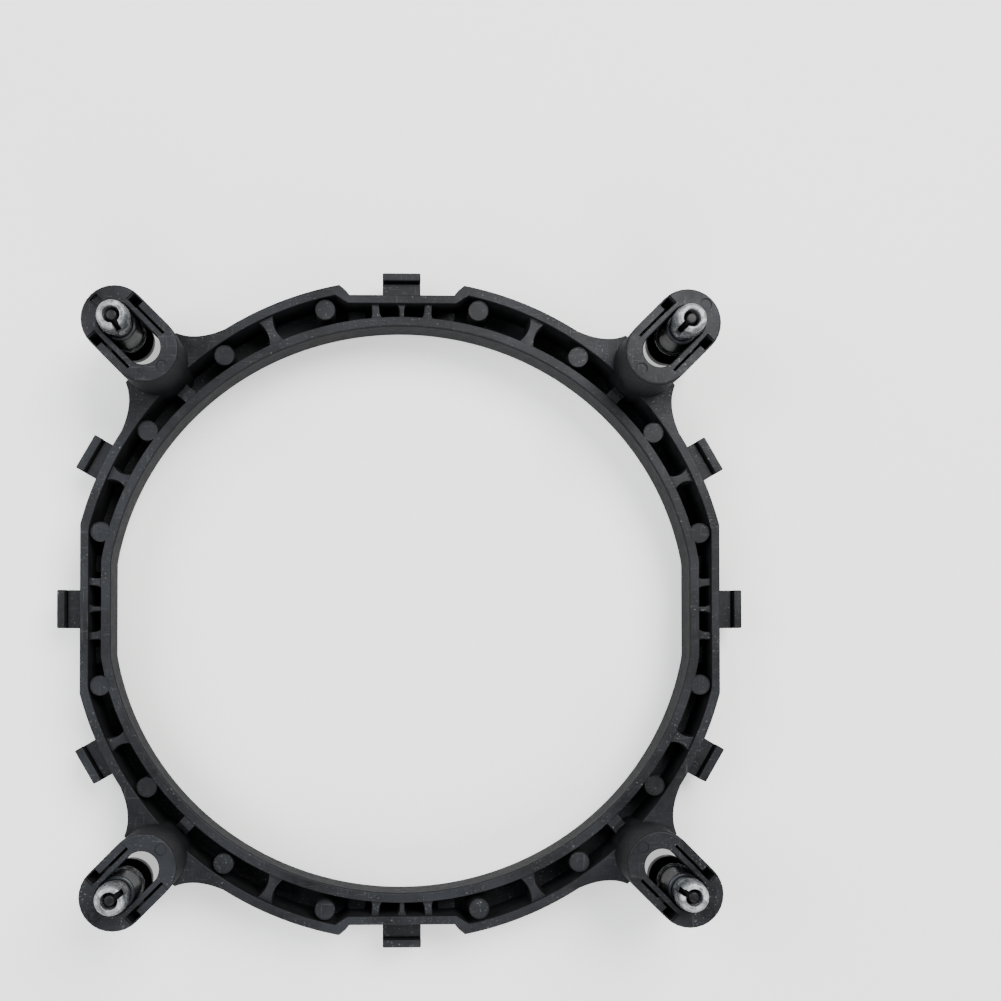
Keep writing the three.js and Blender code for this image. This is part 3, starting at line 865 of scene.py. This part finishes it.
# ---- Materials -----------------------------------------------------------------------------------

class Surface:
    """A Principled material whose inputs are fed by procedural textures in object space."""

    def __init__(self, name):
        self.material = bpy.data.materials.new(name)
        self.material.use_nodes = True
        self.tree = self.material.node_tree
        self.shader = self.tree.nodes["Principled BSDF"]
        self.place = self.tree.nodes.new("ShaderNodeTexCoord")

    def set(self, **values):
        """Sets sockets of the shader; an underscore stands for a space in a socket's name."""
        for name, value in values.items():
            self.shader.inputs[name.replace("_", " ")].default_value = value

    def link(self, source, target):
        self.tree.links.new(source, target)

    def mapped(self, scale, rotation):
        """Object coordinates stretched and turned, for streaks."""
        mapping = self.tree.nodes.new("ShaderNodeMapping")
        mapping.inputs["Scale"].default_value = scale
        mapping.inputs["Rotation"].default_value = rotation
        self.link(self.place.outputs["Object"], mapping.inputs["Vector"])
        return mapping.outputs["Vector"]

    def noise(self, scale, detail, roughness=0.55, distortion=0.0, vector=None):
        node = self.tree.nodes.new("ShaderNodeTexNoise")
        node.inputs["Scale"].default_value = scale
        node.inputs["Detail"].default_value = detail
        node.inputs["Roughness"].default_value = roughness
        node.inputs["Distortion"].default_value = distortion
        self.link(vector or self.place.outputs["Object"], node.inputs["Vector"])
        return node.outputs["Fac"]

    def range(self, value, low, high, out_low=0.0, out_high=1.0):
        """The value's stretch from low to high, spread over out_low to out_high and held there."""
        node = self.tree.nodes.new("ShaderNodeMapRange")
        node.inputs["From Min"].default_value = low
        node.inputs["From Max"].default_value = high
        node.inputs["To Min"].default_value = out_low
        node.inputs["To Max"].default_value = out_high
        self.link(value, node.inputs["Value"])
        return node.outputs["Result"]

    def maths(self, operation, a, b):
        node = self.tree.nodes.new("ShaderNodeMath")
        node.operation = operation
        for socket, value in zip(node.inputs, (a, b)):
            if isinstance(value, (int, float)):
                socket.default_value = value
            else:
                self.link(value, socket)
        return node.outputs["Value"]

    def blend(self, factor, a, b):
        """Colour a where the factor is 0, and b where it is 1."""
        node = self.tree.nodes.new("ShaderNodeMix")
        node.data_type = "RGBA"
        self.link(factor, node.inputs["Factor"])
        for socket, value in ((node.inputs["A"], a), (node.inputs["B"], b)):
            if isinstance(value, tuple):
                socket.default_value = (*value, 1.0)
            else:
                self.link(value, socket)
        return node.outputs["Result"]

    def facing_up(self, low, high):
        """0 on walls and undersides, rising to 1 as the normal's Z goes from low to high."""
        split = self.tree.nodes.new("ShaderNodeSeparateXYZ")
        self.link(self.place.outputs["Normal"], split.inputs["Vector"])
        return self.range(split.outputs["Z"], low, high)

    def bump(self, layers):
        """Feeds the shader's normal; each layer is (height, strength, distance in metres)."""
        normal = None
        for height, strength, distance in layers:
            node = self.tree.nodes.new("ShaderNodeBump")
            node.inputs["Strength"].default_value = strength
            node.inputs["Distance"].default_value = distance
            self.link(height, node.inputs["Height"])
            if normal is not None:
                self.link(normal, node.inputs["Normal"])
            normal = node.outputs["Normal"]
        self.link(normal, self.shader.inputs["Normal"])

    def finish(self, color, roughness):
        self.link(color, self.shader.inputs["Base Color"])
        self.link(roughness, self.shader.inputs["Roughness"])
        return self.material


def ring_plastic():
    """Black moulded plastic: mottled, finely grained, and duller on its side walls.

    Pale specks of dust and thin scuffs lie on its top faces, and the top faces are lightened in clouds,
    partly by wear and partly by painted sheen.
    """
    black = (0.003, 0.0032, 0.0038)
    lighter_black = (0.0085, 0.009, 0.0102)
    # lighter black for the top faces: partly real wear, partly painted sheen
    sheen_and_worn_black = (0.018, 0.0195, 0.023)
    dust_grey = (0.16, 0.165, 0.17)
    scuff_grey = (0.10, 0.102, 0.106)
    s = Surface("ring black plastic")
    cloud = s.noise(90, 3)
    mottle = s.noise(620, 5, 0.62)
    grain = s.noise(4200, 3, 0.6)
    up = s.facing_up(0.6, 0.95)
    specks = s.range(s.noise(3000, 2, 0.5), 0.63, 0.72)
    patchy = s.range(s.noise(210, 3), 0.42, 0.62)
    dust = s.maths("MULTIPLY", s.maths("MULTIPLY", specks, patchy), up)
    scuff_a = s.range(s.noise(1, 4, 0.6, 0.4, s.mapped((260, 3600, 400), (0, 0, 0.6))), 0.60, 0.72)
    scuff_b = s.range(s.noise(1, 4, 0.6, 0.4, s.mapped((2900, 240, 400), (0, 0, 0.3))), 0.62, 0.74)
    scuff = s.maths("MULTIPLY", s.maths("MAXIMUM", scuff_a, scuff_b), up)
    # painted sheen on the upward faces, partly real wear: top faces lightened in clouds toward the
    # lighter black
    sheen_and_wear = s.maths("MULTIPLY", s.range(cloud, 0.35, 0.65, 0.1, 0.9), up)
    color = s.blend(s.range(mottle, 0.3, 0.7), black, lighter_black)
    color = s.blend(sheen_and_wear, color, sheen_and_worn_black)
    color = s.blend(s.maths("MULTIPLY", dust, 0.6), color, dust_grey)
    color = s.blend(s.maths("MULTIPLY", scuff, 0.25), color, scuff_grey)
    mottled = s.range(mottle, 0.3, 0.7, 0.36, 0.54)
    grained = s.range(grain, 0.3, 0.7, -0.05, 0.07)
    dull_walls = s.range(up, 0.0, 1.0, 0.38, 0.0)
    roughness = s.maths("ADD", s.maths("ADD", mottled, grained), dull_walls)
    s.set(Specular_IOR_Level=0.16)
    s.bump([(mottle, 0.25, 0.00008), (grain, 0.35, 0.00003)])
    return s.finish(color, roughness)


def bush_plastic():
    """Smooth dark plastic, glossier than the ring."""
    dark = (0.017, 0.0195, 0.024)
    lighter = (0.031, 0.034, 0.04)
    s = Surface("bush dark plastic")
    mottle = s.noise(900, 4)
    grain = s.noise(5200, 2)
    color = s.blend(s.range(mottle, 0.3, 0.7), dark, lighter)
    s.bump([(mottle, 0.08, 0.00006), (grain, 0.1, 0.00002)])
    return s.finish(color, s.range(mottle, 0.3, 0.7, 0.26, 0.36))


def sleeve_nylon():
    """Natural nylon: cloudy and partly see-through; its top is whitened in places, partly the nylon's
    own whitening and partly a painted highlight.
    """
    deep_grey = (0.12, 0.125, 0.135)
    grey = (0.21, 0.22, 0.23)
    # white for the top: partly the nylon's own whitening, partly painted highlight
    white_and_highlight = (0.56, 0.58, 0.60)
    s = Surface("sleeve natural nylon")
    cloud = s.noise(850, 4, 0.6, 0.8)
    haze = s.noise(420, 2)
    grain = s.noise(3800, 2)
    up = s.facing_up(0.55, 0.98)
    color = s.blend(s.range(cloud, 0.35, 0.65), deep_grey, grey)
    # painted highlight, partly the nylon's own whitening: upward faces turned white in patches
    white_and_highlight_patches = s.maths(
        "MULTIPLY", s.range(cloud, 0.42, 0.62, 0.1, 1.0), s.range(haze, 0.38, 0.60, 0.4, 1.0))
    color = s.blend(s.maths("MULTIPLY", up, white_and_highlight_patches), color, white_and_highlight)
    s.set(IOR=1.53)
    clear = s.maths(
        "MULTIPLY", s.range(cloud, 0.35, 0.65, 0.6, 0.3), s.range(up, 0.0, 1.0, 1.0, 0.6))
    s.link(clear, s.shader.inputs["Transmission Weight"])
    s.bump([(haze, 0.35, 0.0003), (cloud, 0.3, 0.0001), (grain, 0.15, 0.00002)])
    return s.finish(color, s.range(cloud, 0.3, 0.7, 0.14, 0.34))


def plunger_plastic():
    """Deep black, smooth plastic."""
    black = (0.004, 0.004, 0.0045)
    lighter_black = (0.012, 0.012, 0.014)
    s = Surface("plunger black plastic")
    mottle = s.noise(1100, 4)
    grain = s.noise(4800, 2)
    color = s.blend(s.range(mottle, 0.3, 0.7), black, lighter_black)
    s.set(Specular_IOR_Level=0.22)
    s.bump([(mottle, 0.2, 0.00006), (grain, 0.2, 0.00002)])
    return s.finish(color, s.range(mottle, 0.3, 0.7, 0.28, 0.45))


def floor_paper():
    """Plain pale background that glows a little, like paper on a light table."""
    pale = (0.80, 0.80, 0.795)
    paler = (0.84, 0.84, 0.835)
    s = Surface("floor paper")
    cloud = s.noise(14, 2)
    color = s.blend(cloud, pale, paler)
    s.link(color, s.shader.inputs["Emission Color"])
    s.set(Emission_Strength=0.8)
    return s.finish(color, s.range(cloud, 0.0, 1.0, 0.6, 0.7))


# ---- Pieces --------------------------------------------------------------------------------------

def place_piece(obj, name, material, body):
    """Gives the piece its name and look, and puts it in the place of the CAD node of that name."""
    obj.name = "fine_" + name
    obj.data.name = obj.name
    obj.data.materials.clear()
    obj.data.materials.append(material)
    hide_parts(name)
    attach(obj, body)


place_piece(ring_frame(), "ring_frame", ring_plastic(), "ring")

bush_material = bush_plastic()
sleeve_material = sleeve_nylon()
plunger_material = plunger_plastic()
for place, degrees in FOOT_ANGLES.items():
    pin_body = "pin_" + place
    plunger_body = "plunger_" + place
    bush = placed(guide_bush(), degrees)
    place_piece(bush, "guide_bush_" + place, bush_material, pin_body)
    sleeve = placed(expanding_sleeve(), degrees, SLEEVE_TURNS[place])
    place_piece(sleeve, "expanding_sleeve_" + place, sleeve_material, pin_body)
    pin = placed(plunger(), degrees)
    place_piece(pin, "plunger_" + place, plunger_material, plunger_body)


# ---- Floor, lights and camera, in metres, watts and degrees --------------------------------------

FLOOR_SIZE = 3.0
FLOOR_GAP = 0.00002  # keeps the floor's face clear of the faces that rest on it
WORLD_COLOR = (0.90, 0.93, 0.97, 1)
WORLD_STRENGTH = 0.4
CAMERA_PLACE = (-0.00297, -0.0042, 0.17628)
CAMERA_TURN = (0.833, -1.428, -0.021)
SENSOR_WIDTH = 36.0
FOCAL_LENGTH = 41.365
LENS_SHIFT = (0.09, 0.12)
CLIP_START = 0.01

bpy.ops.mesh.primitive_plane_add(size=FLOOR_SIZE, location=(0, 0, -FLOOR_GAP))
floor = bpy.context.object
floor.name = "floor"
floor.data.materials.append(floor_paper())


def area_light(name, location, size, power, color):
    """A soft round light that points at the middle of the ring."""
    data = bpy.data.lights.new(name, "AREA")
    data.shape = "DISK"
    data.size = size
    data.energy = power
    data.color = color
    light = bpy.data.objects.new(name, data)
    light.location = location
    direction = -Vector(location)
    light.rotation_euler = direction.to_track_quat("-Z", "Y").to_euler()
    bpy.context.scene.collection.objects.link(light)


area_light("key", location=(0.24, 0.30, 0.50), size=0.42, power=6.0, color=(1.0, 0.99, 0.97))
area_light("side", location=(-0.42, 0.12, 0.42), size=0.45, power=3.5, color=(0.95, 0.97, 1.0))
area_light("front", location=(0.05, -0.45, 0.38), size=0.45, power=2.5, color=(1.0, 1.0, 1.0))

world = bpy.data.worlds.new("studio")
world.use_nodes = True
background = world.node_tree.nodes["Background"]
background.inputs["Color"].default_value = WORLD_COLOR
background.inputs["Strength"].default_value = WORLD_STRENGTH
bpy.context.scene.world = world

camera_data = bpy.data.cameras.new("camera")
camera_data.sensor_width = SENSOR_WIDTH
camera_data.lens = FOCAL_LENGTH
camera_data.shift_x, camera_data.shift_y = LENS_SHIFT
camera_data.clip_start = CLIP_START
camera = bpy.data.objects.new("camera", camera_data)
camera.location = CAMERA_PLACE
camera.rotation_euler = [math.radians(degrees) for degrees in CAMERA_TURN]
bpy.context.scene.collection.objects.link(camera)
bpy.context.scene.camera = camera
